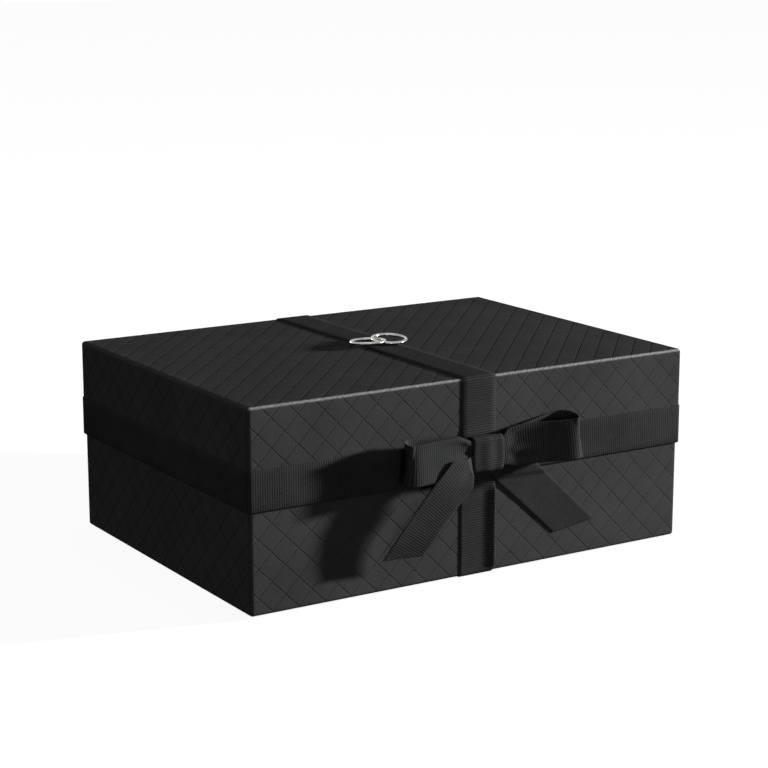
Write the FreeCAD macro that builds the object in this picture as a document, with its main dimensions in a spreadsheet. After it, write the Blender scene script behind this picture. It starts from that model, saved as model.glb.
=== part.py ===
import FreeCAD, Part
import math
import os
import re

import Sketcher

os.makedirs("parts", exist_ok=True)
doc = FreeCAD.newDocument("gift_box")
Vector = FreeCAD.Vector

# Sizes in millimetres, angles in degrees. X runs along the long side, the bow faces -Y,
# Z is up and z = 0 is the underside of the ribbon under the base.
SIZES = {
    # rigid box
    "base_length": 253.0,
    "base_width": 182.0,
    "base_height": 50.0,
    "lid_height": 50.0,
    "lid_overhang": 0.8,
    "board": 2.0,
    "paper": 0.25,
    "glue_line": 0.2,
    "edge_radius": 1.8,
    "turn_in": 16.0,
    "tape_thickness": 0.12,
    "tape_leg": 15.0,
    "lining": 0.2,
    "neck_board": 1.5,
    "neck_rise": 25.0,
    "neck_fit": 0.15,
    # flat ribbon
    "ribbon_width": 20.0,
    "ribbon_thickness": 0.5,
    "ribbon_gap": 0.1,
    "band_inset": 0.3,
    "cross_lift": 0.3,
    # bow
    "bow_rise": 13.0,
    "knot_width": 18.0,
    "knot_length": 18.0,
    "knot_depth": 7.8,
    "knot_radius": 2.6,
    "layer_gap": 0.15,
    "loop_start": 1.0,
    "loop_open": 8.0,
    "loop_reach_left": 47.6,
    "loop_reach_right": 51.5,
    "loop_depth": 12.2,
    "loop_lean_left": 3.2,
    "loop_lean_right": 4.4,
    "loop_lift_left": 1.8,
    "loop_lift_right": 4.2,
    "loop_tilt_left": 2.0,
    "loop_tilt_right": 8.0,
    "tail_across_left": 49.6,
    "tail_across_right": 56.3,
    "tail_drop_left": 44.5,
    "tail_drop_right": 47.2,
    "tail_bend_across_left": 23.5,
    "tail_bend_across_right": 12.0,
    "tail_bend_drop_left": 8.0,
    "tail_bend_drop_right": 2.5,
    "tail_start_drop_left": 3.2,
    "tail_start_across_right": 2.0,
    "tail_start_rise_right": 2.0,
    "tail_gather_left": 4.8,
    "tail_gather_right": 6.0,
    "tail_swing_left": 6.6,
    "tail_swing_right": 2.0,
    "tail_cut_left": 32.0,
    "tail_cut_right": 38.0,
    # ring ornament
    "ring_radius": 8.8,
    "ring_wire": 0.9,
    "ring_spacing": 13.0,
    "ring_tilt": 4.0,
    "dot_radius": 1.4,
}

sheet = doc.addObject("Spreadsheet::Sheet", "Sizes")
for row, (alias, value) in enumerate(SIZES.items(), 1):
    sheet.set("A%d" % row, alias)
    sheet.set("B%d" % row, str(value))
    sheet.setAlias("B%d" % row, alias)
doc.recompute()

# Sizes that mating parts share, written once as formulas.
STAND = "(ribbon_thickness + ribbon_gap)"
RIM = "(ribbon_thickness + ribbon_gap + base_height)"
SKIN = "(paper + glue_line)"
BOARD_RADIUS = "(edge_radius - paper - glue_line)"
LID_LENGTH = "(base_length + 2 * lid_overhang)"
LID_WIDTH = "(base_width + 2 * lid_overhang)"
LID_TOP = "(ribbon_thickness + ribbon_gap + base_height + lid_height)"
NECK_INSET = "(2 * (paper + glue_line + board + paper + neck_fit))"
NECK_LENGTH = "(base_length - %s)" % NECK_INSET
NECK_WIDTH = "(base_width - %s)" % NECK_INSET
NECK_WALL = "(neck_board + 2 * lining)"
CROSS_STAND = "(ribbon_thickness + 2 * ribbon_gap)"
BOW_SEAT = "(base_width / 2 + lid_overhang + 2 * ribbon_thickness + 2 * ribbon_gap)"


def size(alias):
    """One number from the sheet."""
    return float(getattr(sheet, alias))


def bind(thing, prop, formula):
    """Tie a property to the sheet, with sheet names written bare in the formula."""
    def named(match):
        word = match.group()
        return "Sizes." + word if word in SIZES else word
    thing.setExpression(prop, re.sub(r"[a-z_]+", named, formula))


def new_body(label):
    body = doc.addObject("PartDesign::Body", label)
    body.Label = label
    return body


def place(thing, x="0", y="0", z="0"):
    """Put a piece in the assembly."""
    for axis, formula in zip("xyz", (x, y, z)):
        if formula != "0":
            bind(thing, "Placement.Base." + axis, formula)


def sketch_on(body, role, x="0", y="0", z="0"):
    """A sketch on one of the body's own planes, shifted in that plane's axes."""
    sketch = body.newObject("Sketcher::SketchObject", "Sketch")
    plane = [item for item in body.Origin.OriginFeatures if item.Role == role][0]
    sketch.AttachmentSupport = [(plane, "")]
    sketch.MapMode = "FlatFace"
    for axis, formula in zip("xyz", (x, y, z)):
        if formula != "0":
            bind(sketch, "AttachmentOffset.Base." + axis, formula)
    return sketch


def rectangle(sketch, tag, across, up):
    """A rectangle centred on the sketch origin."""
    first = sketch.GeometryCount
    corners = [Vector(-20, -10, 0), Vector(20, -10, 0), Vector(20, 10, 0), Vector(-20, 10, 0)]
    for index in range(4):
        line = Part.LineSegment(corners[index], corners[(index + 1) % 4])
        sketch.addGeometry(line, False)
    for index in range(4):
        here = first + index
        there = first + (index + 1) % 4
        sketch.addConstraint(Sketcher.Constraint("Coincident", here, 2, there, 1))
        kind = "Horizontal" if index % 2 == 0 else "Vertical"
        sketch.addConstraint(Sketcher.Constraint(kind, here))
    sketch.addConstraint(Sketcher.Constraint("Symmetric", first, 1, first + 1, 2, -1, 1))
    wide = sketch.addConstraint(Sketcher.Constraint("DistanceX", first, 1, first, 2, 40.0))
    tall = sketch.addConstraint(Sketcher.Constraint("DistanceY", first + 1, 1, first + 1, 2, 20.0))
    sketch.renameConstraint(wide, tag + "_across")
    sketch.renameConstraint(tall, tag + "_up")
    bind(sketch, "Constraints." + tag + "_across", across)
    bind(sketch, "Constraints." + tag + "_up", up)


def pad(body, sketch, length, symmetric=False, reverse=False):
    feature = body.newObject("PartDesign::Pad", "Pad")
    feature.Profile = sketch
    feature.SideType = "Symmetric" if symmetric else "One side"
    feature.Reversed = reverse
    bind(feature, "Length", length)
    doc.recompute()
    return feature


def pocket(body, sketch, depth, symmetric=False):
    """Cut against the sketch normal and make sure that something went."""
    before = body.Shape.Volume
    feature = body.newObject("PartDesign::Pocket", "Pocket")
    feature.Profile = sketch
    feature.SideType = "Symmetric" if symmetric else "One side"
    bind(feature, "Length", depth)
    doc.recompute()
    if not body.Shape.Volume < before - 1e-6:
        raise RuntimeError("pocket cut nothing in " + body.Label)
    return feature


def fillet(body, radius, wanted):
    """Round the edges of the body that the test picks."""
    tip = body.Tip
    names = []
    for index, edge in enumerate(tip.Shape.Edges, 1):
        if wanted(edge):
            names.append("Edge%d" % index)
    if not names:
        raise RuntimeError("no edge to round in " + body.Label)
    feature = body.newObject("PartDesign::Fillet", "Fillet")
    feature.Base = (tip, names)
    bind(feature, "Radius", radius)
    doc.recompute()
    return feature


def runs_along(edge, axis):
    """True for a straight edge along X, Y or Z (axis 0, 1 or 2)."""
    if len(edge.Vertexes) != 2:
        return False
    step = edge.Vertexes[1].Point - edge.Vertexes[0].Point
    return abs(abs(step[axis]) - step.Length) < 1e-6 and step.Length > 1e-3


def panel(label, length, width, height):
    """A flat board or sheet standing on its own z = 0."""
    body = new_body(label)
    outline = sketch_on(body, "XY_Plane")
    rectangle(outline, "outline", length, width)
    pad(body, outline, height)
    return body


def corner_walls(prefix, length, width, wall, height, z, radius=None):
    """Four wall boards: long ones run full length, short ones stand between them."""
    half_y = "(%s / 2 - %s / 2)" % (width, wall)
    half_x = "(%s / 2 - %s / 2)" % (length, wall)
    for side, sign in (("front", -1), ("back", 1)):
        board = panel("%s_%s_board" % (prefix, side), length, wall, height)
        if radius:
            fillet(board, radius, lambda e, s=sign: runs_along(e, 2) and s * e.CenterOfMass.y > 0)
        place(board, y="%d * %s" % (sign, half_y), z=z)
    between = "(%s - 2 * %s)" % (width, wall)
    for side, sign in (("left", -1), ("right", 1)):
        board = panel("%s_%s_board" % (prefix, side), wall, between, height)
        place(board, x="%d * %s" % (sign, half_x), z=z)


def tray_wrap(label, length, width, height):
    """Paper outside of a tray, mouth up: over the rim and down inside as a turn-in."""
    body = new_body(label)
    outline = sketch_on(body, "XY_Plane")
    rectangle(outline, "outline", length, width)
    pad(body, outline, height)
    room = sketch_on(body, "XY_Plane", z="%s - paper" % height)
    rectangle(room, "room", "%s - 2 * paper" % length, "%s - 2 * paper" % width)
    pocket(body, room, "%s - 2 * paper" % height)
    outside = body.Shape.BoundBox

    def rounded(edge):
        return runs_along(edge, 2) or edge.CenterOfMass.z < 2 * size("paper")

    def is_outer(edge):
        middle = edge.CenterOfMass
        sides = (middle.x - outside.XMin, outside.XMax - middle.x, middle.y - outside.YMin,
                 outside.YMax - middle.y, middle.z)
        return min(sides) < size("paper") / 2
    fillet(body, "edge_radius - paper", lambda e: rounded(e) and not is_outer(e))
    fillet(body, "edge_radius", lambda e: rounded(e) and is_outer(e))
    inner_length = "(%s - 2 * (%s + board))" % (length, SKIN)
    inner_width = "(%s - 2 * (%s + board))" % (width, SKIN)
    mouth = sketch_on(body, "XY_Plane", z=height)
    rectangle(mouth, "mouth", "%s - 2 * paper" % inner_length, "%s - 2 * paper" % inner_width)
    pocket(body, mouth, "1.5 * paper")
    turn = sketch_on(body, "XY_Plane", z="%s - paper" % height)
    rectangle(turn, "outside", inner_length, inner_width)
    rectangle(turn, "inside", "%s - 2 * paper" % inner_length, "%s - 2 * paper" % inner_width)
    pad(body, turn, "turn_in", reverse=True)
    return body


def corner_tapes(label, length, width, height, z):
    """Paper tape folded round the four board corners."""
    ring = new_body(label + "_ring")
    reach = "2 * (glue_line - tape_thickness) / 2"
    outline = sketch_on(ring, "XY_Plane")
    rectangle(outline, "outside", "%s - 2 * paper - %s" % (length, reach),
              "%s - 2 * paper - %s" % (width, reach))
    pad(ring, outline, height)
    fillet(ring, "edge_radius - paper - (glue_line - tape_thickness) / 2",
           lambda e: runs_along(e, 2))
    core = new_body(label + "_core")
    outline = sketch_on(core, "XY_Plane")
    rectangle(outline, "outside", "%s - 2 * paper - %s - 2 * tape_thickness" % (length, reach),
              "%s - 2 * paper - %s - 2 * tape_thickness" % (width, reach))
    pad(core, outline, height)
    fillet(core, "edge_radius - paper - (glue_line + tape_thickness) / 2",
           lambda e: runs_along(e, 2))
    along = panel(label + "_along", "%s - 2 * tape_leg" % length, "2 * %s" % width, height)
    across = panel(label + "_across", "2 * %s" % length, "%s - 2 * tape_leg" % width, height)
    removed = doc.addObject("Part::MultiFuse", label + "_removed")
    removed.Shapes = [core, along, across]
    tapes = doc.addObject("Part::Cut", label)
    tapes.Label = label
    tapes.Base = ring
    tapes.Tool = removed
    place(tapes, z=z)
    doc.recompute()
    return tapes


def strap(label, across, height, radius):
    """Ribbon bent over a box: top run and two legs, seen in the YZ plane, z = 0 at the leg ends."""
    body = new_body(label)
    outer = sketch_on(body, "YZ_Plane", y="%s / 2" % height)
    rectangle(outer, "outer", "%s + 2 * ribbon_thickness" % across, height)
    pad(body, outer, "ribbon_width", symmetric=True)
    inner = sketch_on(body, "YZ_Plane", y="%s / 2 - ribbon_thickness" % height)
    rectangle(inner, "inner", across, height)
    pocket(body, inner, "2 * ribbon_width", symmetric=True)
    top = body.Shape.BoundBox.ZMax
    under = top - size("ribbon_thickness")
    fillet(body, radius, lambda e: runs_along(e, 0) and abs(e.CenterOfMass.z - under) < 1e-4)
    fillet(body, "%s + ribbon_thickness" % radius,
           lambda e: runs_along(e, 0) and abs(e.CenterOfMass.z - top) < 1e-4)
    return body


def closed_face(near, far):
    """A flat face between two smooth curves through points, closed at both ends."""
    first = Part.BSplineCurve()
    first.interpolate(near)
    second = Part.BSplineCurve()
    second.interpolate(far)
    start = Part.makeLine(near[0], far[0])
    end = Part.makeLine(near[-1], far[-1])
    return Part.Face(Part.Wire(Part.__sortEdges__([first.toShape(), end, second.toShape(), start])))


def prism(label, face, direction, reach):
    """A face drawn out both ways along a direction."""
    profile = doc.addObject("Part::Feature", label + "_profile")
    profile.Shape = face
    solid = doc.addObject("Part::Extrusion", label)
    solid.Base = profile
    solid.DirMode = "Custom"
    solid.Dir = direction
    solid.LengthFwd = reach
    solid.LengthRev = reach
    solid.Solid = True
    return solid


def bent_ribbon(label, path, across, high, low):
    """Ribbon bent along a path, its width running across, trimmed to an outline in the front view."""
    half = size("ribbon_thickness") / 2
    near = []
    far = []
    for index, spot in enumerate(path):
        run = path[min(index + 1, len(path) - 1)] - path[max(index - 1, 0)]
        normal = run.cross(across)
        normal.normalize()
        near.append(spot + normal * half)
        far.append(spot - normal * half)
    sheet_form = prism(label + "_sheet", closed_face(near, far), across, 2 * size("ribbon_width"))
    outline = prism(label + "_outline", closed_face(high, low), Vector(0, 1, 0), size("base_width") / 2)
    strip = doc.addObject("Part::Common", label)
    strip.Label = label
    strip.Base = sheet_form
    strip.Tool = outline
    place(strip, y="-1 * %s" % BOW_SEAT, z="%s + bow_rise" % RIM)
    doc.recompute()
    return strip


def smooth(value):
    """Ease from 0 to 1."""
    value = min(max(value, 0.0), 1.0)
    return value * value * (3 - 2 * value)


# Base tray
TRAY_FLOOR = "(%s + board)" % SKIN
BOARD_LENGTH = "(base_length - 2 * %s)" % SKIN
BOARD_WIDTH = "(base_width - 2 * %s)" % SKIN
bottom = panel("base_bottom_board", BOARD_LENGTH, BOARD_WIDTH, "board")
fillet(bottom, BOARD_RADIUS, lambda e: runs_along(e, 2) or e.CenterOfMass.z < 1e-6)
place(bottom, z="%s + %s" % (STAND, SKIN))
corner_walls("base", BOARD_LENGTH, BOARD_WIDTH, "board", "(base_height - 2 * %s - board)" % SKIN,
             "%s + %s" % (STAND, TRAY_FLOOR), BOARD_RADIUS)
corner_tapes("base_corner_tapes", "base_length", "base_width", "(base_height - 2 * %s - board)" % SKIN,
             "%s + %s" % (STAND, TRAY_FLOOR))
base_wrap = tray_wrap("base_wrap", "base_length", "base_width", "base_height")
place(base_wrap, z=STAND)

# Neck glued inside the base, which the lid slides down over
NECK_HEIGHT = "(base_height + neck_rise - %s)" % TRAY_FLOOR
NECK_Z = "%s + %s" % (STAND, TRAY_FLOOR)
corner_walls("neck", "(%s - 2 * lining)" % NECK_LENGTH, "(%s - 2 * lining)" % NECK_WIDTH, "neck_board",
             "(%s - lining)" % NECK_HEIGHT, NECK_Z)
neck_wrap = new_body("neck_wrap")
tube = sketch_on(neck_wrap, "XY_Plane")
rectangle(tube, "outside", NECK_LENGTH, NECK_WIDTH)
rectangle(tube, "inside", "%s - 2 * %s" % (NECK_LENGTH, NECK_WALL), "%s - 2 * %s" % (NECK_WIDTH, NECK_WALL))
pad(neck_wrap, tube, NECK_HEIGHT)
core = sketch_on(neck_wrap, "XY_Plane", z="%s - lining" % NECK_HEIGHT)
rectangle(core, "outside", "%s - 2 * lining" % NECK_LENGTH, "%s - 2 * lining" % NECK_WIDTH)
rectangle(core, "inside", "%s - 2 * lining - 2 * neck_board" % NECK_LENGTH,
          "%s - 2 * lining - 2 * neck_board" % NECK_WIDTH)
pocket(neck_wrap, core, NECK_HEIGHT)
place(neck_wrap, z=NECK_Z)
floor_lining = panel("floor_lining", "%s - 2 * %s - 4 * ribbon_gap" % (NECK_LENGTH, NECK_WALL),
                     "%s - 2 * %s - 4 * ribbon_gap" % (NECK_WIDTH, NECK_WALL), "lining")
place(floor_lining, z=NECK_Z)

# Ribbon under the base, up the front and the back to just below the rim
base_ribbon = strap("base_ribbon", "(base_width + 2 * ribbon_gap)",
                    "(%s + base_height - band_inset)" % STAND, "(edge_radius + ribbon_gap)")
base_ribbon.Placement.Rotation = FreeCAD.Rotation(Vector(1, 0, 0), 180)
place(base_ribbon, z="%s + base_height - band_inset" % STAND)

# Lid, built like the base tray and turned over
LID_BOARD_LENGTH = "(%s - 2 * %s)" % (LID_LENGTH, SKIN)
LID_BOARD_WIDTH = "(%s - 2 * %s)" % (LID_WIDTH, SKIN)
top_board = panel("lid_top_board", LID_BOARD_LENGTH, LID_BOARD_WIDTH, "board")
fillet(top_board, BOARD_RADIUS, lambda e: runs_along(e, 2) or e.CenterOfMass.z > size("board") - 1e-6)
place(top_board, z="%s - %s" % (LID_TOP, TRAY_FLOOR))
LID_WALL = "(lid_height - 2 * %s - board)" % SKIN
corner_walls("lid", LID_BOARD_LENGTH, LID_BOARD_WIDTH, "board", LID_WALL, "%s + %s" % (RIM, SKIN),
             BOARD_RADIUS)
corner_tapes("lid_corner_tapes", LID_LENGTH, LID_WIDTH, LID_WALL, "%s + %s" % (RIM, SKIN))
lid_wrap = tray_wrap("lid_wrap", LID_LENGTH, LID_WIDTH, "lid_height")
lid_wrap.Placement.Rotation = FreeCAD.Rotation(Vector(1, 0, 0), 180)
place(lid_wrap, z=LID_TOP)
LINING_LENGTH = "(%s - 2 * board)" % LID_BOARD_LENGTH
LINING_WIDTH = "(%s - 2 * board)" % LID_BOARD_WIDTH
LINING_DROP = "(lid_height - %s - paper - turn_in)" % TRAY_FLOOR
lid_lining = panel("lid_lining", LINING_LENGTH, LINING_WIDTH, LINING_DROP)
hollow = sketch_on(lid_lining, "XY_Plane", z="%s - lining" % LINING_DROP)
rectangle(hollow, "hollow", "%s - 2 * lining" % LINING_LENGTH, "%s - 2 * lining" % LINING_WIDTH)
pocket(lid_lining, hollow, LINING_DROP)
place(lid_lining, z="%s + paper + turn_in" % RIM)

# Ribbon band round the lid and ribbon across it, lying over the band
BAND_LENGTH = "(%s + 2 * ribbon_gap)" % LID_LENGTH
BAND_WIDTH = "(%s + 2 * ribbon_gap)" % LID_WIDTH
band = panel("lid_ribbon_band", "%s + 2 * ribbon_thickness" % BAND_LENGTH,
             "%s + 2 * ribbon_thickness" % BAND_WIDTH, "ribbon_width")
opening = sketch_on(band, "XY_Plane", z="ribbon_width")
rectangle(opening, "opening", BAND_LENGTH, BAND_WIDTH)
pocket(band, opening, "2 * ribbon_width")
band_end = band.Shape.BoundBox.XMax - size("ribbon_thickness") / 2
fillet(band, "edge_radius + ribbon_gap",
       lambda e: runs_along(e, 2) and abs(e.CenterOfMass.x) < band_end)
fillet(band, "edge_radius + ribbon_gap + ribbon_thickness",
       lambda e: runs_along(e, 2) and abs(e.CenterOfMass.x) > band_end)
place(band, z="%s + band_inset" % RIM)
cross = strap("lid_ribbon_cross", "(%s + 2 * %s)" % (LID_WIDTH, CROSS_STAND),
              "(lid_height - band_inset + cross_lift + ribbon_thickness)", "(edge_radius + cross_lift)")
place(cross, z="%s + band_inset" % RIM)

# Bow knot: ribbon wound once round the waist of the loops
TAIL_STACK = "(ribbon_thickness + 2 * layer_gap)"
knot = new_body("bow_knot")
wound = sketch_on(knot, "YZ_Plane")
rectangle(wound, "outer", "knot_depth", "knot_length")
pad(knot, wound, "knot_width", symmetric=True)
waist = sketch_on(knot, "YZ_Plane")
rectangle(waist, "inner", "knot_depth - 2 * ribbon_thickness", "knot_length - 2 * ribbon_thickness")
pocket(knot, waist, "2 * knot_width", symmetric=True)
knot_end = knot.Shape.BoundBox.ZMax - size("ribbon_thickness") / 2
fillet(knot, "knot_radius - ribbon_thickness",
       lambda e: runs_along(e, 0) and abs(e.CenterOfMass.z) < knot_end)
fillet(knot, "knot_radius", lambda e: runs_along(e, 0) and abs(e.CenterOfMass.z) > knot_end)
place(knot, y="-1 * (%s + %s + knot_depth / 2)" % (BOW_SEAT, TAIL_STACK), z="%s + bow_rise" % RIM)

# Bow loops: teardrops in plan that leave the knot gathered and open to full width
KNOT_MIDDLE = size("ribbon_thickness") + 2 * size("layer_gap") + size("knot_depth") / 2
GATHER = size("knot_length") / 2 - 2 * size("ribbon_thickness")
FULL = size("ribbon_width") / 2
KNOT_EDGE = size("knot_width") / 2


def bow_loop(side, sign):
    start = size("loop_start")
    opened = KNOT_EDGE + size("loop_open")
    reach = size("loop_reach_" + side)
    lift = size("loop_lift_" + side)
    tilt = math.radians(size("loop_tilt_" + side))
    across = Vector(0, math.sin(tilt), math.cos(tilt))
    forward = Vector(0, -math.cos(tilt), math.sin(tilt))
    path = []
    first = 0.42
    count = 17
    for index in range(count):
        turn = first + (2 * math.pi - 2 * first) * index / (count - 1)
        out = (1 - math.cos(turn)) / 2
        swell = size("loop_depth") / 2 / 0.57 * math.sin(turn) * math.sin(turn / 2) ** 3
        swell = swell + (size("ribbon_thickness") + size("layer_gap")) * 0.7 * math.cos(turn / 2)
        away = KNOT_MIDDLE + size("loop_lean_" + side) * out + swell
        path.append(Vector(sign * (start + (reach - start) * out), 0, 0) + forward * away)
    high = []
    low = []
    beyond = reach + 6 * size("ribbon_thickness")
    for x in (start, (start + KNOT_EDGE) / 2, KNOT_EDGE, (KNOT_EDGE + opened) / 2, opened,
              (opened + reach) / 2, beyond):
        spread = GATHER + (FULL - GATHER) * smooth((x - KNOT_EDGE) / size("loop_open"))
        rise = lift * x / reach + KNOT_MIDDLE * math.sin(tilt) * smooth((x - KNOT_EDGE) / (2 * FULL))
        high.append(Vector(sign * x, 0, rise + spread))
        low.append(Vector(sign * x, 0, rise - spread))
    return bent_ribbon("bow_loop_" + side, path, across, high, low)


bow_loop("left", -1)
bow_loop("right", 1)


# Bow tails: each widens along a curve in the front view and swings away from the box on the way down
def bow_tail(side, sign, first, away, upright, spread):
    start = Vector(first[0], 0, first[1])
    bend = Vector(sign * size("tail_bend_across_" + side), 0, -size("tail_bend_drop_" + side))
    end = Vector(sign * size("tail_across_" + side), 0, -size("tail_drop_" + side))
    gather = size("tail_gather_" + side)
    swing = size("tail_swing_" + side)
    down = (end - start).normalize()
    across = Vector(0, 1, 0).cross(down)
    length = (end - start).Length
    path = [start + down * (length * along) + Vector(0, -(seat + swing * share), 0)
            for along, seat, share in away]
    cut = FULL * math.tan(math.radians(size("tail_cut_" + side)))
    high = []
    low = []
    count = 9
    for index in range(count):
        along = index / (count - 1)
        back = 1 - along
        middle = start * back ** 2 + bend * (2 * along * back) + end * along ** 2
        run = ((bend - start) * back + (end - bend) * along).normalize()
        wide = Vector(-run.z, 0, run.x)
        if wide.z < 0:
            wide = wide * -1
        turned = smooth(along / upright)
        wide = (wide * turned + Vector(0, 0, 1) * (1 - turned)).normalize()
        width = gather + (FULL - gather) * smooth(along / spread)
        slant = cut * smooth((along - 0.7) / 0.3)
        high.append(middle + wide * width + run * slant)
        low.append(middle - wide * width - run * slant)
    return bent_ribbon("bow_tail_" + side, path, across, high, low)


# The right tail lies flat behind the knot and the loop. The left one leaves the knot in front of its loop.
# Each row is how far along the tail, the distance it starts from, and the share of the swing added there.
BEHIND = size("layer_gap") + size("ribbon_thickness") / 2
INSIDE = KNOT_MIDDLE + size("knot_depth") / 2 - 2 * size("ribbon_thickness") - size("layer_gap")
bow_tail("right", 1, (size("tail_start_across_right"), size("tail_start_rise_right")),
         [(-0.2, BEHIND, 0), (0.1, BEHIND, 0), (0.4, BEHIND, 0.05), (0.7, BEHIND, 0.3), (1.3, BEHIND, 1)],
         0.01, 0.45)
bow_tail("left", -1, (-KNOT_EDGE - size("layer_gap"), -size("tail_start_drop_left")),
         [(-0.2, INSIDE, -0.333), (0.0, INSIDE, 0.182), (0.14, INSIDE, 0.742), (0.3, INSIDE, 1),
          (0.6, INSIDE, 0.788), (1.3, INSIDE, 0.076)],
         0.25, 0.35)

# Ring ornament: two rings cast in one piece, leaning a little opposite ways
RIBBON_TOP = "(%s + cross_lift + ribbon_thickness)" % LID_TOP
RING_HEIGHT = "(%s + ring_wire + ribbon_gap + ring_radius * sin(ring_tilt * 1 deg))" % RIBBON_TOP


def ring_body(label, wire):
    """A ring of eight-sided wire, turned about its own Z axis."""
    body = new_body(label)
    section = sketch_on(body, "XZ_Plane")
    section.addGeometry(Part.Circle(Vector(9, 0, 0), Vector(0, 0, 1), 1), True)
    corners = []
    for index in range(8):
        angle = math.radians(22.5 + 45 * index)
        corners.append(Vector(9 + math.cos(angle), math.sin(angle), 0))
    for index in range(8):
        section.addGeometry(Part.LineSegment(corners[index], corners[(index + 1) % 8]), False)
    for index in range(8):
        here = index + 1
        there = (index + 1) % 8 + 1
        section.addConstraint(Sketcher.Constraint("Coincident", here, 2, there, 1))
        section.addConstraint(Sketcher.Constraint("PointOnObject", here, 1, 0))
        if index:
            section.addConstraint(Sketcher.Constraint("Equal", 1, here))
    section.addConstraint(Sketcher.Constraint("Horizontal", 2))
    section.addConstraint(Sketcher.Constraint("PointOnObject", 0, 3, -1))
    middle = section.addConstraint(Sketcher.Constraint("DistanceX", -1, 1, 0, 3, 9.0))
    corner = section.addConstraint(Sketcher.Constraint("Radius", 0, 1.0))
    section.renameConstraint(middle, "middle")
    section.renameConstraint(corner, "corner")
    bind(section, "Constraints.middle", "ring_radius")
    bind(section, "Constraints.corner", "(%s) / cos(22.5 deg)" % wire)
    turned = body.newObject("PartDesign::Revolution", "Revolution")
    turned.Profile = section
    turned.ReferenceAxis = (section, ["V_Axis"])
    turned.Angle = 360
    doc.recompute()
    return body


def ring_pair(label, wire):
    rings = []
    for name, sign in (("left", -1), ("right", 1)):
        ring = ring_body(label + "_" + name, wire)
        ring.Placement.Rotation = FreeCAD.Rotation(Vector(1, 0, 0), sign * size("ring_tilt"))
        place(ring, x="%d * ring_spacing / 2" % sign, z=RING_HEIGHT)
        rings.append(ring)
    pair = doc.addObject("Part::Fuse", label)
    pair.Label = label
    pair.Base = rings[0]
    pair.Tool = rings[1]
    return pair


ring_pair("ring_ornament", "ring_wire")
dots = []
for name, sign in (("left", -1), ("right", 1)):
    dot = doc.addObject("Part::Cylinder", "dot_" + name)
    bind(dot, "Radius", "dot_radius")
    bind(dot, "Height", "ribbon_gap + 0.6 * ring_wire")
    place(dot, x="%d * ring_spacing / 2" % sign, y="%d * -1 * ring_radius" % sign, z=RIBBON_TOP)
    dots.append(dot)
dot_pair = doc.addObject("Part::MultiFuse", "dot_pair")
dot_pair.Shapes = dots
adhesive = doc.addObject("Part::Cut", "ring_adhesive_dots")
adhesive.Label = "ring_adhesive_dots"
adhesive.Base = dot_pair
adhesive.Tool = ring_pair("ring_clearance", "ring_wire + 0.5 * ribbon_gap")
doc.recompute()

NODES = [
    "base_bottom_board", "base_front_board", "base_back_board", "base_left_board", "base_right_board",
    "base_corner_tapes", "base_wrap", "neck_front_board", "neck_back_board", "neck_left_board",
    "neck_right_board", "neck_wrap", "floor_lining", "base_ribbon", "lid_top_board", "lid_front_board",
    "lid_back_board", "lid_left_board", "lid_right_board", "lid_corner_tapes", "lid_wrap", "lid_lining",
    "lid_ribbon_band", "lid_ribbon_cross", "bow_knot", "bow_loop_left", "bow_loop_right",
    "bow_tail_left", "bow_tail_right", "ring_ornament", "ring_adhesive_dots",
]
for item in doc.Objects:
    if "Invalid" in item.State or "Error" in item.State:
        raise RuntimeError("%s did not compute" % item.Label)
for label in NODES:
    node = doc.getObjectsByLabel(label)[0]
    if node.Shape.isNull() or not node.Shape.isValid():
        raise RuntimeError("%s has no valid shape" % label)
    node.Shape.exportStep("parts/%s.step" % label)
    box = node.Shape.BoundBox
    print("%-20s solids %d volume %10.1f  x %7.2f %7.2f  y %7.2f %7.2f  z %6.2f %6.2f" % (
        label, len(node.Shape.Solids), node.Shape.Volume, box.XMin, box.XMax, box.YMin, box.YMax,
        box.ZMin, box.ZMax))
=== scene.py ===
import math

import bmesh
import bpy
import numpy as np
from mathutils import Matrix, Vector


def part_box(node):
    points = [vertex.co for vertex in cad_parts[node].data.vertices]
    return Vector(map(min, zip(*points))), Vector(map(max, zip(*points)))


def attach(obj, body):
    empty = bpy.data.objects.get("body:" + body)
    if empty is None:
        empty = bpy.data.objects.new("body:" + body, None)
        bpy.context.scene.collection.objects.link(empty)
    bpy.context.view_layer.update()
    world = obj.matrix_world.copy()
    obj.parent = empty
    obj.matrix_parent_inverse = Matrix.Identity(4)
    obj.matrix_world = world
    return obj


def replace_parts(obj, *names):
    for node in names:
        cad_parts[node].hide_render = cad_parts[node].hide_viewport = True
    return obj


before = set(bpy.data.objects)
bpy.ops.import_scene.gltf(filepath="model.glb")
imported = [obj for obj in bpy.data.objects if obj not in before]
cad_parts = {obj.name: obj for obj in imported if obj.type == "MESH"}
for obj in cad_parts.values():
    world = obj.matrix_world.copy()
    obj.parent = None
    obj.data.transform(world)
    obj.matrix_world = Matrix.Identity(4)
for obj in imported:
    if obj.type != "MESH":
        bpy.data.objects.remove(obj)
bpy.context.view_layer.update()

MM = 0.001
TINY = 1e-12

# Sizes in millimetres, the same as in the part's source.
LID = {"hx": 127.3, "hy": 91.8, "low": 50.6, "high": 100.6}
BASE = {"hx": 126.5, "hy": 91.0, "low": 0.6, "high": 50.6}
EDGE_RADIUS = 1.8
RIM_RADIUS = 0.45
WALL = 2.7
TURN_IN = 16.0
BOW_SEAT_Y = -93.0
BOW_Z = 63.6

# The four corners of an outline: the two signs and the angle where the round starts.
CORNERS = ((1, -1, -90), (1, 1, 0), (-1, 1, 90), (-1, -1, 180))

# Ribbon, in millimetres, with five rows of points to a rib.
RIBBON_HALF = 10.0
RIBBON_THICKNESS = 0.42
RIB_PITCH = 1.25
RIB_HEIGHT = 0.09
STEP = RIB_PITCH / 5


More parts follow.
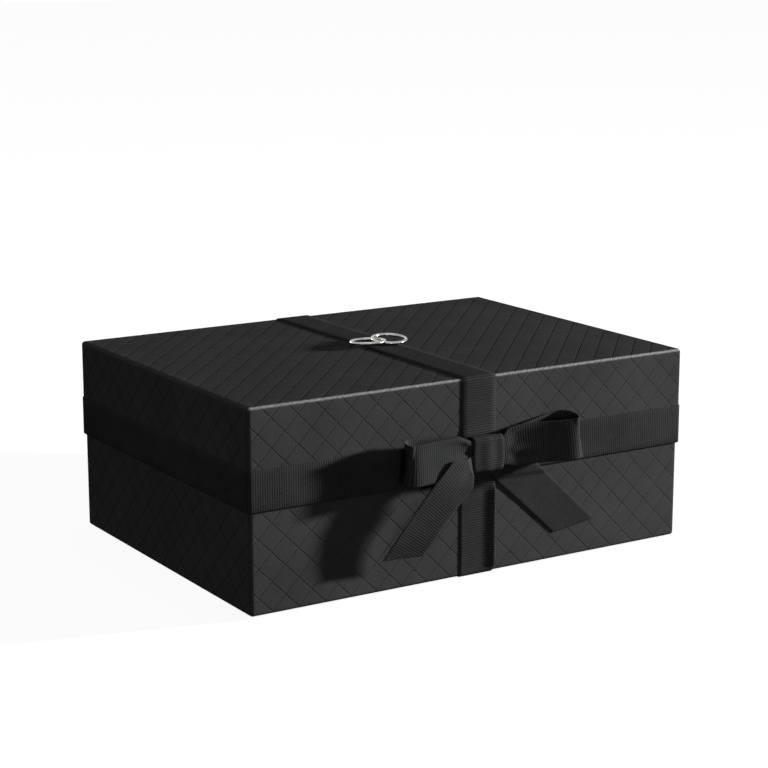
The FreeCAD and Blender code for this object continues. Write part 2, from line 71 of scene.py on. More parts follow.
def smooth(value):
    """From zero to one, level at both ends."""
    value = np.clip(value, 0.0, 1.0)
    return value * value * (3 - 2 * value)


def unit(rows):
    return rows / np.linalg.norm(rows, axis=1)[:, None]


def run_lengths(points):
    """The length along a polyline at each of its points."""
    return np.concatenate([[0], np.cumsum(np.linalg.norm(np.diff(points, axis=0), axis=1))])


def points_at(spots, lengths, points):
    """The points of a polyline at the given lengths along it."""
    return np.stack([np.interp(spots, lengths, points[:, k]) for k in range(3)], -1)


def forward(shift):
    """A move away from the front of the box."""
    return np.stack([0 * shift, -shift, 0 * shift], -1)


# Materials
# Painted shade in the pressed grooves: the cover paper is darkened there, by up to this share, towards this
# colour.
GROOVE_SHADE_SHARE = 0.25
GROOVE_SHADE_COLOUR = (0.014, 0.014, 0.014)
THREADS = 22.0


def new_material(name):
    material = bpy.data.materials.new(name)
    material.use_nodes = True
    nodes = material.node_tree.nodes
    return material, nodes, material.node_tree.links, nodes["Principled BSDF"]


def add_node(nodes, kind, **values):
    node = nodes.new(kind)
    for key, value in values.items():
        if key in node.inputs:
            node.inputs[key].default_value = value
        else:
            setattr(node, key, value)
    return node


def noise(nodes, links, coords, scale, detail):
    node = add_node(nodes, "ShaderNodeTexNoise", Scale=scale, Detail=detail, Roughness=0.55)
    links.new(coords, node.inputs["Vector"])
    return node.outputs["Fac"]


def ramp(nodes, links, source, low, high, start=0.3, end=0.7):
    node = nodes.new("ShaderNodeMapRange")
    node.inputs["From Min"].default_value = start
    node.inputs["From Max"].default_value = end
    node.inputs["To Min"].default_value = low
    node.inputs["To Max"].default_value = high
    links.new(source, node.inputs["Value"])
    return node.outputs["Result"]


def colour_mix(nodes, links, factor, first, second):
    """A mix of two colours, each a constant or the output of a node."""
    node = add_node(nodes, "ShaderNodeMix", data_type="RGBA")
    links.new(factor, node.inputs[0])
    sockets = [socket for socket in node.inputs if socket.type == "RGBA"]
    for socket, colour in zip(sockets, (first, second)):
        if isinstance(colour, tuple):
            socket.default_value = (*colour, 1)
        else:
            links.new(colour, socket)
    return [socket for socket in node.outputs if socket.type == "RGBA"][0]


def bump(nodes, links, height, strength, distance, normal=None):
    node = add_node(nodes, "ShaderNodeBump", Strength=strength, Distance=distance)
    links.new(height, node.inputs["Height"])
    if normal is not None:
        links.new(normal, node.inputs["Normal"])
    return node.outputs["Normal"]


def math_node(nodes, links, operation, first, second=0.0):
    node = add_node(nodes, "ShaderNodeMath", operation=operation)
    for index, value in enumerate((first, second)):
        if isinstance(value, (int, float)):
            node.inputs[index].default_value = value
        else:
            links.new(value, node.inputs[index])
    return node.outputs[0]


def weighted(nodes, links, *terms):
    """The sum of the given outputs, each times its share."""
    total = 0.0
    for source, share in terms:
        part = math_node(nodes, links, "MULTIPLY", source, share)
        total = math_node(nodes, links, "ADD", part, total)
    return total


def object_coords(nodes):
    return nodes.new("ShaderNodeTexCoord").outputs["Object"]


def mesh_attribute(nodes, name):
    return add_node(nodes, "ShaderNodeAttribute", attribute_name=name)


def connect(links, shader, colour, roughness, normal):
    links.new(colour, shader.inputs["Base Color"])
    links.new(roughness, shader.inputs["Roughness"])
    links.new(normal, shader.inputs["Normal"])


def paper_material(name, dark, light, grain, edge_highlight_colour=None):
    """Uncoated paper: fine grain, mottled tone and, on the cover, painted shade in the pressed lines and a
    painted highlight along the lid's front top edge.
    """
    material, nodes, links, shader = new_material(name)
    coords = object_coords(nodes)
    fine = noise(nodes, links, coords, scale=2600, detail=4.0)
    tooth = noise(nodes, links, coords, scale=900, detail=2.0)
    cloud = noise(nodes, links, coords, scale=35, detail=3.0)
    tone = weighted(nodes, links, (fine, 0.5), (cloud, 0.5))
    colour = colour_mix(nodes, links, ramp(nodes, links, tone, 0.0, 1.0), dark, light)
    if edge_highlight_colour is not None:
        # Painted shade: the paper is darkened in the pressed grooves, where shade falls.
        pressed = mesh_attribute(nodes, "pressed").outputs["Fac"]
        pressed = math_node(nodes, links, "MULTIPLY", pressed, GROOVE_SHADE_SHARE)
        colour = colour_mix(nodes, links, pressed, colour, GROOVE_SHADE_COLOUR)
        # Painted highlight: a lighter, speckled colour along the lid's front top edge stands in for light
        # catching that rounded edge.
        speck = ramp(nodes, links, tooth, 0.55, 1.0, start=0.4, end=0.6)
        painted_highlight = mesh_attribute(nodes, "edge").outputs["Fac"]
        painted_highlight = math_node(nodes, links, "MULTIPLY", painted_highlight, speck)
        colour = colour_mix(nodes, links, painted_highlight, colour, edge_highlight_colour)
    coarse = bump(nodes, links, tooth, strength=grain, distance=0.00012)
    normal = bump(nodes, links, fine, strength=grain * 0.6, distance=0.00005, normal=coarse)
    connect(links, shader, colour, ramp(nodes, links, tooth, 0.55, 0.72), normal)
    shader.inputs["Specular IOR Level"].default_value = 0.0
    return material


def ribbon_material():
    """Grosgrain: warp threads run along the ribbon, over the ribs that the mesh has."""
    material, nodes, links, shader = new_material("black_grosgrain")
    split = nodes.new("ShaderNodeSeparateXYZ")
    links.new(mesh_attribute(nodes, "weave").outputs["Vector"], split.inputs[0])
    across = math_node(nodes, links, "MULTIPLY", split.outputs["Y"], THREADS)
    along = math_node(nodes, links, "MULTIPLY", split.outputs["X"], 2 * math.pi / RIB_PITCH)
    thread = math_node(nodes, links, "SINE", across)
    rib = math_node(nodes, links, "COSINE", along)
    coords = object_coords(nodes)
    fuzz = noise(nodes, links, coords, scale=3200, detail=3.0)
    cloud = noise(nodes, links, coords, scale=60, detail=2.0)
    # The rib wave in the tone is painted shade: the ribbon is a little darker between its ribs.
    tone = weighted(nodes, links, (rib, 0.22), (cloud, 0.5), (fuzz, 0.5))
    colour = colour_mix(nodes, links, ramp(nodes, links, tone, 0.0, 1.0, start=0.2, end=0.8),
                        (0.025, 0.0255, 0.0255), (0.056, 0.057, 0.057))
    height = weighted(nodes, links, (thread, 0.35), (fuzz, 1.0))
    normal = bump(nodes, links, height, strength=0.45, distance=0.00006)
    connect(links, shader, colour, ramp(nodes, links, fuzz, 0.6, 0.8), normal)
    shader.inputs["Specular IOR Level"].default_value = 0.0
    return material


def silver_material():
    """Polished plate with faint drawn lines and an uneven tone."""
    material, nodes, links, shader = new_material("polished_silver_plate")
    coords = object_coords(nodes)
    cloud = noise(nodes, links, coords, scale=220, detail=4.0)
    lines = noise(nodes, links, coords, scale=5200, detail=2.0)
    colour = colour_mix(nodes, links, ramp(nodes, links, cloud, 0.0, 1.0),
                        (0.3, 0.295, 0.29), (0.44, 0.435, 0.43))
    normal = bump(nodes, links, lines, strength=0.12, distance=0.00002)
    connect(links, shader, colour, ramp(nodes, links, cloud, 0.14, 0.26), normal)
    shader.inputs["Metallic"].default_value = 1.0
    return material


def board_material():
    """Recycled greyboard with short fibres."""
    material, nodes, links, shader = new_material("greyboard")
    coords = object_coords(nodes)
    fibre = noise(nodes, links, coords, scale=1500, detail=5.0)
    cloud = noise(nodes, links, coords, scale=90, detail=3.0)
    tone = weighted(nodes, links, (fibre, 0.6), (cloud, 0.4))
    colour = colour_mix(nodes, links, ramp(nodes, links, tone, 0.0, 1.0),
                        (0.24, 0.22, 0.19), (0.36, 0.34, 0.3))
    normal = bump(nodes, links, fibre, strength=0.5, distance=0.0001)
    connect(links, shader, colour, ramp(nodes, links, fibre, 0.8, 0.95), normal)
    shader.inputs["Specular IOR Level"].default_value = 0.2
    return material


def adhesive_material():
    """Dots of glue, dark because the black paper shows through."""
    material, nodes, links, shader = new_material("clear_adhesive")
    cloud = noise(nodes, links, object_coords(nodes), scale=700, detail=2.0)
    colour = colour_mix(nodes, links, ramp(nodes, links, cloud, 0.0, 1.0),
                        (0.03, 0.03, 0.028), (0.055, 0.054, 0.05))
    normal = bump(nodes, links, cloud, strength=0.3, distance=0.0001)
    connect(links, shader, colour, ramp(nodes, links, cloud, 0.12, 0.3), normal)
    return material


# The light colour given last is the painted highlight on the lid's front top edge.
COVER = paper_material("embossed_black_cover_paper", (0.046, 0.046, 0.0465), (0.068, 0.068, 0.0685),
                       grain=0.6, edge_highlight_colour=(0.36, 0.36, 0.355))
LINER = paper_material("plain_black_lining_paper", (0.02, 0.02, 0.0205), (0.034, 0.034, 0.0345), grain=0.4)
TAPE = paper_material("white_corner_tape", (0.5, 0.48, 0.43), (0.66, 0.64, 0.58), grain=0.4)
GROSGRAIN = ribbon_material()
SILVER = silver_material()
BOARD = board_material()
GLUE = adhesive_material()


# Meshes
def make_piece(name, points, faces, material, body, slot, floats=None, vectors=None):
    mesh = bpy.data.meshes.new(name)
    mesh.from_pydata((np.asarray(points) * MM).tolist(), [], faces)
    mesh.polygons.foreach_set("use_smooth", [True] * len(mesh.polygons))
    for key, values in (floats or {}).items():
        attribute = mesh.attributes.new(key, "FLOAT", "POINT")
        attribute.data.foreach_set("value", np.asarray(values, np.float32))
    for key, values in (vectors or {}).items():
        attribute = mesh.attributes.new(key, "FLOAT_VECTOR", "POINT")
        attribute.data.foreach_set("vector", np.asarray(values, np.float32).ravel())
    mesh.validate()
    mesh.materials.append(material)
    piece = bpy.data.objects.new(name, mesh)
    bpy.context.scene.collection.objects.link(piece)
    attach(piece, body)
    return piece


def flat_normals(mesh):
    """Vertex normals weighted by area, so that large flat cells stay flat beside narrow grooves."""
    total = np.zeros((len(mesh.vertices), 3))
    for polygon in mesh.polygons:
        total[list(polygon.vertices)] += np.array(polygon.normal) * polygon.area
    total /= np.maximum(np.linalg.norm(total, axis=1), TINY)[:, None]
    mesh.normals_split_custom_set_from_vertices(total.tolist())


# Embossed wraps, in millimetres. A family of pressed lines has an angle, a pitch, a start and a depth.
GROOVE_HALF = 0.42
GROOVE_SAMPLES = (-1.0, -0.5, 0.0, 0.5, 1.0)
GRID_MARGIN = 12.0
BORDER_CUTS = (0.0, 0.2, 0.45, 0.9, 1.35, 1.8, 2.6)
CUT_DISTANCE = 1e-4
FADE_START = 0.3
FADE_WIDTH = 1.5
GROOVE_SHADE_FULL_DEPTH = 0.2
# The painted highlight on the lid's front top edge: the two faces it lies on with their signs, and where and
# how fast it fades away from the edge.
HIGHLIGHT_SIDES = {"front": -1, "end": 1}
HIGHLIGHT_START = 0.5
HIGHLIGHT_WIDTH = 1.0
NO_LIMIT = 1e6
LEAST_RADIUS = 0.05
CORNER_STEPS = 6
INNER_RADIUS = 0.3
INNER_BEND = 0.09
TURN_IN_THICKNESS = 0.24
WELD_DISTANCE = 2e-6
SIDE_LINES = ((math.pi / 4, 10.05, 2.4, 0.17), (3 * math.pi / 4, 10.05, 4.6, 0.17))
TOP_LINES = ((math.radians(46), 10.3, 3.0, 0.08), (math.radians(138), 9.0, 4.0, 0.26))


def groove_lines(low, high, pitch, phase):
    """Where the pressed lines lie, with the samples that their rounded section needs."""
    first = math.floor((low - phase) / pitch)
    last = math.ceil((high - phase) / pitch)
    spots = []
    for index in range(first, last + 1):
        middle = phase + index * pitch
        spots += [middle + GROOVE_HALF * share for share in GROOVE_SAMPLES]
    return np.array(spots)


def groove_depth(along, pitch, phase):
    near = np.abs((along - phase + pitch / 2) % pitch - pitch / 2)
    return 0.5 + 0.5 * np.cos(np.pi * np.clip(near / GROOVE_HALF, 0, 1))


def lined_grid(width, height, one, two, across, up):
    """Cells between two sets of lines, wherever they come near a rectangle of the given size."""
    back = np.linalg.inv(np.stack([one, two]))
    grid = np.stack(np.meshgrid(across, up, indexing="ij"), -1) @ back.T
    near_x = np.abs(grid[..., 0]) < width / 2 + GRID_MARGIN
    near_y = np.abs(grid[..., 1]) < height / 2 + GRID_MARGIN
    keep = near_x & near_y
    form = bmesh.new()
    made = {}
    for i in range(len(across) - 1):
        for j in range(len(up) - 1):
            ring = ((i, j), (i + 1, j), (i + 1, j + 1), (i, j + 1))
            if not any(keep[spot] for spot in ring):
                continue
            for spot in ring:
                if spot not in made:
                    made[spot] = form.verts.new((grid[spot][0], grid[spot][1], 0))
            form.faces.new([made[spot] for spot in ring])
    return form


def embossed_patch(width, height, families):
    """A flat rectangle, centred, cut up along two sets of pressed lines and along its borders."""
    (angle_one, pitch_one, phase_one, deep_one), (angle_two, pitch_two, phase_two, deep_two) = families
    one = np.array([math.cos(angle_one), math.sin(angle_one)])
    two = np.array([math.cos(angle_two), math.sin(angle_two)])
    corners = np.array([(sx * width / 2, sy * height / 2) for sx in (-1, 1) for sy in (-1, 1)])
    across = groove_lines((corners @ one).min(), (corners @ one).max(), pitch_one, phase_one)
    up = groove_lines((corners @ two).min(), (corners @ two).max(), pitch_two, phase_two)
    form = lined_grid(width, height, one, two, across, up)
    for axis, half in ((0, width / 2), (1, height / 2)):
        for sign in (-1, 1):
            for inset in BORDER_CUTS:
                spot = [0, 0, 0]
                spot[axis] = sign * (half - inset)
                normal = [0, 0, 0]
                normal[axis] = sign
                everything = form.verts[:] + form.edges[:] + form.faces[:]
                bmesh.ops.bisect_plane(form, geom=everything, dist=CUT_DISTANCE, plane_co=spot,
                                       plane_no=normal, clear_outer=inset == 0)
    form.verts.index_update()
    flat = np.array([vert.co[:2] for vert in form.verts])
    faces = [[vert.index for vert in face.verts] for face in form.faces]
    form.free()
    depth = np.maximum(deep_one * groove_depth(flat @ one, pitch_one, phase_one),
                       deep_two * groove_depth(flat @ two, pitch_two, phase_two))
    return flat, faces, depth


def rounded(points, box, open_up):
    """Points of the sharp box moved on to the rounded one, with their normals."""
    low = np.array([-box["hx"], -box["hy"], box["low"]]) + EDGE_RADIUS
    high = np.array([box["hx"], box["hy"], box["high"]]) - EDGE_RADIUS
    if open_up:
        high[2] = NO_LIMIT
    else:
        low[2] = -NO_LIMIT
    core = np.clip(points, low, high)
    away = points - core
    normal = away / np.maximum(np.linalg.norm(away, axis=1), TINY)[:, None]
    placed = core + normal * EDGE_RADIUS
    rim = box["high"] - points[:, 2] if open_up else points[:, 2] - box["low"]
    turn = np.clip(1 - rim / RIM_RADIUS, 0, 1)
    level = normal * np.array([1, 1, 0])
    placed = placed - level * (RIM_RADIUS * (1 - np.sqrt(1 - turn ** 2)))[:, None]
    tip = np.array([0, 0, 1.0 if open_up else -1.0])
    bent = level * np.sqrt(1 - turn ** 2)[:, None] + tip * turn[:, None]
    normal = np.where((turn > 0)[:, None], bent, normal)
    return placed, unit(normal)


def wrap_faces(box, open_up):
    """Size, centre and the two directions of each outer face, by name."""
    hx, hy = box["hx"], box["hy"]
    tall = box["high"] - box["low"]
    middle = (box["high"] + box["low"]) / 2
    end = box["low"] if open_up else box["high"]
    return {
        "front": (2 * hx, tall, (0, -hy, middle), (1, 0, 0), (0, 0, 1)),
        "back": (2 * hx, tall, (0, hy, middle), (-1, 0, 0), (0, 0, 1)),
        "left": (2 * hy, tall, (-hx, 0, middle), (0, -1, 0), (0, 0, 1)),
        "right": (2 * hy, tall, (hx, 0, middle), (0, 1, 0), (0, 0, 1)),
        "end": (2 * hx, 2 * hy, (0, 0, end), (1, 0, 0), (0, -1 if open_up else 1, 0)),
    }


def outline_ring(box, inset, z):
    """The box outline moved inwards, with rounded corners while there is radius left."""
    ring = []
    radius = max(EDGE_RADIUS - inset, LEAST_RADIUS)
    for sx, sy, start in CORNERS:
        cx = sx * (box["hx"] - inset - radius)
        cy = sy * (box["hy"] - inset - radius)
        for step in range(CORNER_STEPS + 1):
            angle = math.radians(start + 90 * step / CORNER_STEPS)
            ring.append((cx + radius * math.cos(angle), cy + radius * math.sin(angle), z))
    return ring


def embossed_wrap(name, node, body, box, open_up, end_lines):
    """One wrap: five outer faces with pressed lines, then the paper turned in over the rim."""
    points, faces, edge, pressed = [], [], [], []
    count = 0
    for side, (width, height, centre, right, up) in wrap_faces(box, open_up).items():
        flat, patch, depth = embossed_patch(width, height, end_lines if side == "end" else SIDE_LINES)
        sharp = np.array(centre) + flat[:, :1] * np.array(right, float) + flat[:, 1:] * np.array(up, float)
        border = np.minimum(width / 2 - np.abs(flat[:, 0]), height / 2 - np.abs(flat[:, 1]))
        depth = depth * smooth((border - FADE_START) / FADE_WIDTH)
        placed, normal = rounded(sharp, box, open_up)
        points.append(placed - normal * depth[:, None])
        # The groove depth also sets how much painted shade the paper gets in the grooves.
        pressed.append(np.clip(depth / GROOVE_SHADE_FULL_DEPTH, 0, 1))
        # The edge attribute holds a painted highlight, set only on the lid, on both faces that meet at its
        # front top edge.
        if side in HIGHLIGHT_SIDES and not open_up:
            from_edge = height / 2 + flat[:, 1] * HIGHLIGHT_SIDES[side]
            edge.append(1 - smooth((from_edge - HIGHLIGHT_START) / HIGHLIGHT_WIDTH))
        else:
            edge.append(np.zeros(len(flat)))
        faces += [[index + count for index in ring] for ring in patch]
        count += len(flat)
    rim = box["high"] if open_up else box["low"]
    inward = -1 if open_up else 1
    section = [(RIM_RADIUS, 0.0), (WALL - INNER_RADIUS, 0.0), (WALL - INNER_BEND, INNER_BEND),
               (WALL, INNER_RADIUS), (WALL, TURN_IN), (WALL - TURN_IN_THICKNESS, TURN_IN)]
    rings = [outline_ring(box, inset, rim + inward * drop) for inset, drop in section]
    size = len(rings[0])
    for ring in rings:
        points.append(np.array(ring))
        edge.append(np.zeros(size))
        pressed.append(np.zeros(size))
    for row in range(len(rings) - 1):
        for index in range(size):
            here = count + row * size + index
            there = count + row * size + (index + 1) % size
            quad = [here, there, there + size, here + size]
            faces.append(quad if open_up else quad[::-1])
    piece = make_piece(name, np.concatenate(points), faces, COVER, body, "embossed_paper",
                       floats={"edge": np.concatenate(edge), "pressed": np.concatenate(pressed)})
    form = bmesh.new()
    form.from_mesh(piece.data)
    bmesh.ops.remove_doubles(form, verts=form.verts, dist=WELD_DISTANCE)
    bmesh.ops.dissolve_degenerate(form, edges=form.edges, dist=WELD_DISTANCE)
    form.to_mesh(piece.data)
    form.free()
    flat_normals(piece.data)
    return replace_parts(piece, node)


embossed_wrap("lid_cover_embossed", "lid_wrap", "lid", LID, False, TOP_LINES)
embossed_wrap("base_cover_embossed", "base_wrap", "base", BASE, True, SIDE_LINES)


# Ribbons. The woven edges are thin, finely wavy bands along both sides.
EDGE_BAND = 0.04
EDGE_THICKNESS = 0.14
EDGE_WAVE = 0.06
RIB_SUNK = 0.7
CUT_CLEAN = 1e-7


def shell_faces(rows, columns, closed):
    """Faces of a shell with two sides of rows by columns points, its walls and, when open, its ends."""
    base = rows * columns
    faces = []
    for i in range(rows if closed else rows - 1):
        k = (i + 1) % rows
        for j in range(columns - 1):
            a, b, c, d = i * columns + j, k * columns + j, k * columns + j + 1, i * columns + j + 1
            faces.append((a, b, c, d))
            faces.append((base + d, base + c, base + b, base + a))
        a, b = i * columns, k * columns
        faces.append((b, a, base + a, base + b))
        a, b = a + columns - 1, b + columns - 1
        faces.append((a, b, base + b, base + a))
    if not closed:
        for j in range(columns - 1):
            faces.append((j, j + 1, base + j + 1, base + j))
            a = (rows - 1) * columns + j
            faces.append((a + 1, a, base + a, base + a + 1))
    return faces


def ribbon(name, node, body, centre, across, half, columns,
           outer=None, closed=False, dents=None, cut=None):
    """Grosgrain along a line of points: half widths and width directions per row, ribs across the run.
    With an outward direction per row, the inner side is flat and lies on the line."""
    rows = len(centre)
    run = run_lengths(centre)
    share = np.concatenate([[-1.0], np.linspace(EDGE_BAND - 1, 1 - EDGE_BAND, columns - 2), [1.0]])
    wave = np.cos(2 * np.pi * run / RIB_PITCH)
    wavy_half = half + EDGE_WAVE * wave
    grid = centre[:, None] + across[:, None] * (wavy_half[:, None] * share[None])[..., None]
    if dents is not None:
        grid = grid + dents(grid, share, run)
    if closed:
        along = np.roll(grid, -1, 0) - np.roll(grid, 1, 0)
    else:
        along = np.gradient(grid, axis=0)
    normal = np.cross(along, np.gradient(grid, axis=1))
    normal = normal / np.maximum(np.linalg.norm(normal, axis=2), TINY)[..., None]
    inside = smooth((1 - np.abs(share)) / EDGE_BAND)
    thickness = RIBBON_THICKNESS - RIB_HEIGHT * RIB_SUNK
    thickness = (EDGE_THICKNESS + (thickness - EDGE_THICKNESS) * inside)[None]
    rib = (0.5 + 0.5 * wave)[:, None] * inside[None] * RIB_HEIGHT
    if outer is not None:
        normal = normal * np.sign((normal * outer[:, None]).sum(2))[..., None]
        top = grid + normal * (thickness + rib)[..., None]
        bottom = grid
    else:
        top = grid + normal * (thickness / 2 + rib)[..., None]
        bottom = grid - normal * (thickness / 2 + rib)[..., None]
    points = np.concatenate([top.reshape(-1, 3), bottom.reshape(-1, 3)])
    weave = np.stack([np.broadcast_to(run[:, None], (rows, columns)),
                      half[:, None] * share[None],
                      np.zeros((rows, columns))], -1).reshape(-1, 3)
    piece = make_piece(name, points, shell_faces(rows, columns, closed), GROSGRAIN, body, "ribbon",
                       vectors={"weave": np.concatenate([weave, weave])})
    form = bmesh.new()
    form.from_mesh(piece.data)
    if cut is not None:
        everything = form.verts[:] + form.edges[:] + form.faces[:]
        bmesh.ops.bisect_plane(form, geom=everything, dist=CUT_CLEAN, plane_co=Vector(cut[0]) * MM,
                               plane_no=Vector(cut[1]), clear_outer=True)
        bmesh.ops.holes_fill(form, edges=[edge for edge in form.edges if edge.is_boundary], sides=0)
    bmesh.ops.recalc_face_normals(form, faces=form.faces)
    form.to_mesh(piece.data)
    form.free()
    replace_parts(piece, node)
    return piece


def resample(points, closed=False):
    """Even steps along a polyline, and its length."""
    points = np.asarray(points, float)
    if closed:
        points = np.concatenate([points, points[:1]])
    lengths = run_lengths(points)
    count = int(round(lengths[-1] / STEP))
    spots = np.linspace(0, lengths[-1], count + 1)
    if closed:
        spots = spots[:-1]
    return points_at(spots, lengths, points), lengths[-1]


def arc(middle, radius, start, end, plane, count=10):
    """Points of an arc in the XY or YZ plane."""
    spots = []
    for step in range(count + 1):
        angle = math.radians(start + (end - start) * step / count)
        one = radius * math.cos(angle)
        two = radius * math.sin(angle)
        if plane == "xy":
            spots.append((middle[0] + one, middle[1] + two, middle[2]))
        else:
            spots.append((middle[0], middle[1] + one, middle[2] + two))
    return spots


# Ribbons on the box, in millimetres: how far their inner sides lie off the paper, and where they run.
RIBBON_GAP = 0.1
CROSS_GAP = 0.15
OVER_BAND_GAP = 0.7
RIM_GAP = 0.3
BAND_Z = 60.9
STEP_IN_TOP = 76.0
STEP_IN_TALL = 4.0
STEP_IN_POINTS = 9

# The ribbons face away from a core inside the box.
CORE_X = 120
CORE_Y = 85
CORE_TOP = 94
CORE_BOTTOM = 7
ANY = math.inf

# The right edge of the lower ribbon stands off the box.
CURL_HEIGHT = 1.9
CURL_FROM = 2.6
CURL_WIDTH = 7.4
CURL_POWER = 1.6
CURL_LOW = 0.8
CURL_RISE = 5.0
CURL_HIGH = 49.0
CURL_FALL = 7.0


def straight_ribbon(name, node, body, path, across, core, closed=False, dents=None, columns=9):
    line, length = resample(path, closed)
    rows = len(line)
    width = np.tile(np.array(across, float), (rows, 1))
    outer = line - np.clip(line, *core)
    return ribbon(name, node, body, line, width, np.full(rows, RIBBON_HALF),
                  columns, outer, closed, dents)


def band_path():
    radius = EDGE_RADIUS + RIBBON_GAP
    x = LID["hx"] + RIBBON_GAP - radius
    y = LID["hy"] + RIBBON_GAP - radius
    spots = []
    for sx, sy, start in CORNERS:
        spots += arc((sx * x, sy * y, BAND_Z), radius, start, start + 90, "xy")
    return spots


def cross_path():
    """From rim to rim over the lid, stepping in to the paper above the band."""
    over_band = LID["hy"] + OVER_BAND_GAP
    close = LID["hy"] + CROSS_GAP
    radius = EDGE_RADIUS + CROSS_GAP
    bend_z = LID["high"] + CROSS_GAP - radius
    low = LID["low"] + RIM_GAP
    step = []
    for share in np.linspace(0, 1, STEP_IN_POINTS):
        y = close + (over_band - close) * float(smooth(share))
        step.append((0, y, STEP_IN_TOP - STEP_IN_TALL * share))
    spots = [(0, -over_band, low)] + [(x, -y, z) for x, y, z in step[::-1]]
    spots += arc((0, -close + radius, bend_z), radius, 180, 90, "yz")
    spots += arc((0, close - radius, bend_z), radius, 90, 0, "yz")
    return spots + step + [(0, over_band, low)]


def under_path():
    y = BASE["hy"] + RIBBON_GAP
    radius = EDGE_RADIUS + RIBBON_GAP
    bend_z = BASE["low"] - RIBBON_GAP + radius
    high = BASE["high"] - RIM_GAP
    spots = [(0, -y, high)]
    spots += arc((0, -y + radius, bend_z), radius, 180, 270, "yz")
    spots += arc((0, y - radius, bend_z), radius, 270, 360, "yz")
    return spots + [(0, y, high)]


def curled_edge(grid, share, run):
    """The front run of the lower ribbon, with its right edge standing off the box."""
    x, y, z = grid[..., 0], grid[..., 1], grid[..., 2]
    lifted = CURL_HEIGHT * np.clip((x - CURL_FROM) / CURL_WIDTH, 0, 1) ** CURL_POWER
    lifted = lifted * smooth((z - CURL_LOW) / CURL_RISE) * smooth((CURL_HIGH - z) / CURL_FALL) * (y < 0)
    return forward(lifted)


straight_ribbon("ribbon_round_lid", "lid_ribbon_band", "lid", band_path(), (0, 0, 1),
                ((-CORE_X, -CORE_Y, -ANY), (CORE_X, CORE_Y, ANY)), closed=True)
straight_ribbon("ribbon_over_lid", "lid_ribbon_cross", "lid", cross_path(), (1, 0, 0),
                ((-ANY, -CORE_Y, -ANY), (ANY, CORE_Y, CORE_TOP)))
straight_ribbon("ribbon_under_base", "base_ribbon", "base", under_path(), (1, 0, 0),
                ((-ANY, -CORE_Y, CORE_BOTTOM), (ANY, CORE_Y, ANY)), dents=curled_edge, columns=21)


# Bow, in millimetres and in a frame of its own: x to the right, then away from the box, then z up.
BOW_COLUMNS = 21
KNOT_COLUMNS = 17
KNOT_MIDDLE = 4.7
KNOT_DEPTH = 7.8
KNOT_TALL = 18.0
KNOT_INSET = 0.25
KNOT_CORNER = 2.4
KNOT_HALF = 8.7
KNOT_FLARE = 0.35
KNOT_FLARE_TURN = 1.9
KNOT_SIDE = 9.0
KNOT_FRONT_Y = -98.0
KNOT_FRONT_RUN = 2.0
CREASE = 0.28
CREASE_WAVES = 5.5
CREASE_START = 0.4
EDGE_PULL = 0.5
EDGE_PULL_POWER = 6


def to_world(local):
    return np.stack([local[..., 0], BOW_SEAT_Y - local[..., 1], BOW_Z + local[..., 2]], -1)


def direction(local):
    return np.stack([local[..., 0], -local[..., 1], local[..., 2]], -1)


def bow_knot():
    """The ribbon once round the loops, creased in front and pulled in at its edges."""
    depth = KNOT_DEPTH / 2 - KNOT_INSET
    tall = KNOT_TALL / 2 - KNOT_INSET
    spots = []
    for sy, sz, start in CORNERS:
        middle = (0, sy * (depth - KNOT_CORNER), sz * (tall - KNOT_CORNER))
        spots += arc(middle, KNOT_CORNER, start, start + 90, "yz")
    line, length = resample(spots, True)
    line[:, 1] = line[:, 1] + KNOT_MIDDLE
    width = np.tile(np.array([1.0, 0, 0]), (len(line), 1))
    half = KNOT_HALF + KNOT_FLARE * np.cos(line[:, 2] / (KNOT_TALL / 2) * KNOT_FLARE_TURN)

    def wrinkle(grid, share, run):
        front = smooth((KNOT_FRONT_Y - grid[..., 1]) / KNOT_FRONT_RUN)
        crease = CREASE * np.cos(share * CREASE_WAVES + CREASE_START)[None]
        crease = crease * np.cos((grid[..., 2] - BOW_Z) / (KNOT_TALL / 2))
        return forward(front * (crease - EDGE_PULL * np.abs(share[None]) ** EDGE_PULL_POWER))

    return ribbon("bow_knot_ribbon", "bow_knot", "lid", to_world(line), width, half,
                  KNOT_COLUMNS, closed=True, dents=wrinkle)


# Loops. Out runs from nought at the knot to one at the far end.
LOOPS = {
    "left": dict(sign=-1, reach=47.6, depth=6.6, lean=3.8, lift=1.8, front=4.0, back=2.5, rise=1.3,
                 swing=1.0, shift=1.1, puff=0.0, opened=9.0, gathered=6.0, closing=0.0, raised=0.9),
    "right": dict(sign=1, reach=51.5, depth=15.6, lean=4.4, lift=4.2, front=13.0, back=4.0, rise=1.7,
                  swing=2.0, shift=0.9, puff=1.3, opened=7.0, gathered=11.0, closing=0.8, raised=0.0),
}
LOOP_POINTS = 900
LOOP_START = 0.42
LOOP_ROOT = 1
LOOP_END_POWER = 14
LOOP_FULLEST = 0.775
LOOP_GATHER = 7.2
LAYER_GAP = 0.45
PUFF_AT = 8.0
PUFF_WIDTH = 5.5
CLOSING_FROM = 0.16
CLOSING_RISE = 0.2
CLOSING_TO = 0.4
CLOSING_FALL = 0.4
TILT_RATE = 1.6

# Gathers beside the knot: where they end, and each fold's height, waves and start.
GATHER_END = 30.0
GATHER_FALL = 18.0
GATHER_RISE = 6.0
GATHER_FOLDS = ((0.55, 7.0, 0.6), (0.3, 12.0, 2.0))
SAG = 0.25
SAG_RUN = 9.0
RAISED_FROM = 0.15
RAISED_RISE = 0.3
RAISED_TO = 0.6
RAISED_FALL = 0.4
RAISED_WIDTH = 5.0


